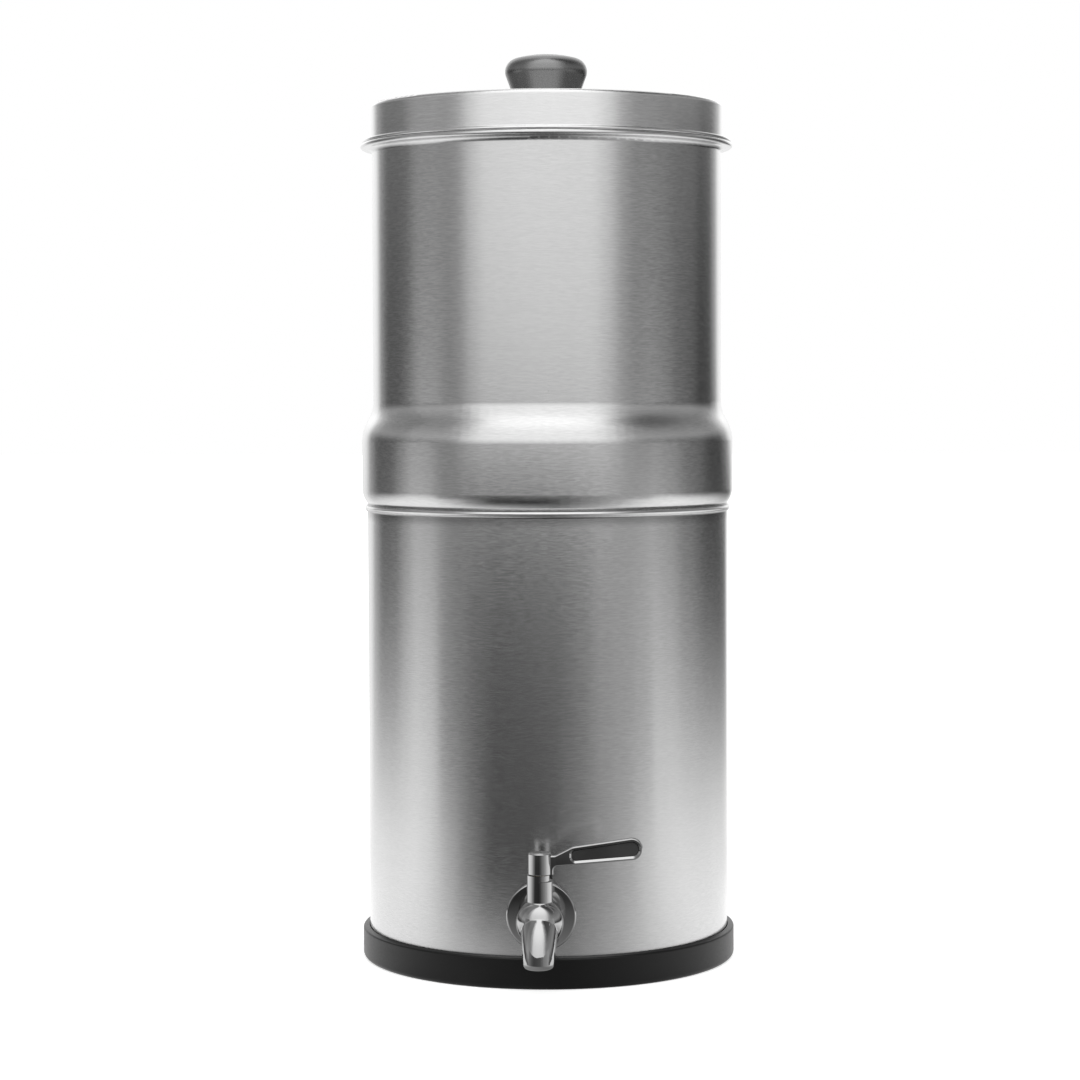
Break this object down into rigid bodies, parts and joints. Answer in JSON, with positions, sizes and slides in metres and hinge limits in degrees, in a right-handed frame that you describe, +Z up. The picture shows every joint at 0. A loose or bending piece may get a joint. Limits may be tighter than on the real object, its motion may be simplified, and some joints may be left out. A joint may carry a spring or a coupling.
{
  "type": "gravity water filter with tap",
  "caption": "Cylindrical steel gravity water filter: a lidded upper chamber with filter candles stands in a lower chamber with a quarter-turn tap.",
  "frame": {"origin": "on the tank's axis, in the plane of the base ring's underside", "axes": "+Z up along the tank's axis, the tap faces -Y, the lever at rest points to +X"},
  "size_m": [0.224, 0.2685, 0.5404],
  "materials": {
    "steel": "brushed round the body",
    "plain_steel": "bright turned",
    "chrome": "mirror polished",
    "rubber": "satin",
    "black_rubber": "smooth",
    "silicone": "smooth",
    "knob": "satin",
    "pad": "satin",
    "white_plastic": "moulded",
    "ceramic": "unglazed",
    "carbon": "pressed carbon",
    "brass": "turned"
  },
  "bodies": {
    "lower_unit": {"lower_chamber": "steel", "base_ring": "rubber", "tap_gasket": "silicone", "tap_escutcheon": "chrome", "tap_inner_gasket": "silicone", "tap_washer": "plain_steel", "tap_nut": "plain_steel", "tap_shank": "chrome", "tap_body": "chrome", "valve_seat_inlet": "white_plastic", "valve_seat_outlet": "white_plastic", "stem_gland": "brass"},
    "tap_lever": {"valve_ball": "chrome", "valve_stem": "plain_steel", "stem_o_rings": "black_rubber", "tap_handle": "chrome", "handle_pad": "pad", "handle_cap": "chrome", "handle_screw": "plain_steel"},
    "upper_unit": {"upper_chamber": "steel", "filter_seal_left": "silicone", "filter_mount_left": "white_plastic", "filter_ceramic_left": "ceramic", "filter_core_left": "carbon", "wing_nut_left": "white_plastic", "filter_seal_right": "silicone", "filter_mount_right": "white_plastic", "filter_ceramic_right": "ceramic", "filter_core_right": "carbon", "wing_nut_right": "white_plastic"},
    "lid_unit": {"lid": "steel", "lid_knob": "knob", "knob_insert": "brass", "knob_washer": "plain_steel", "knob_screw": "plain_steel"}
  },
  "joints": [
    {"name": "tap_turn", "type": "hinge", "parent": "lower_unit", "child": "tap_lever", "pos_m": [0, -0.13, 0.0695], "axis": [0, 0, 1], "range_deg": [-90, 0]},
    {"name": "upper_lift", "type": "slide", "parent": "lower_unit", "child": "upper_unit", "axis": [0, 0, 1], "range_m": [0, 0.12]},
    {"name": "lid_lift", "type": "slide", "parent": "upper_unit", "child": "lid_unit", "axis": [0, 0, 1], "range_m": [0, 0.12]}
  ]
}
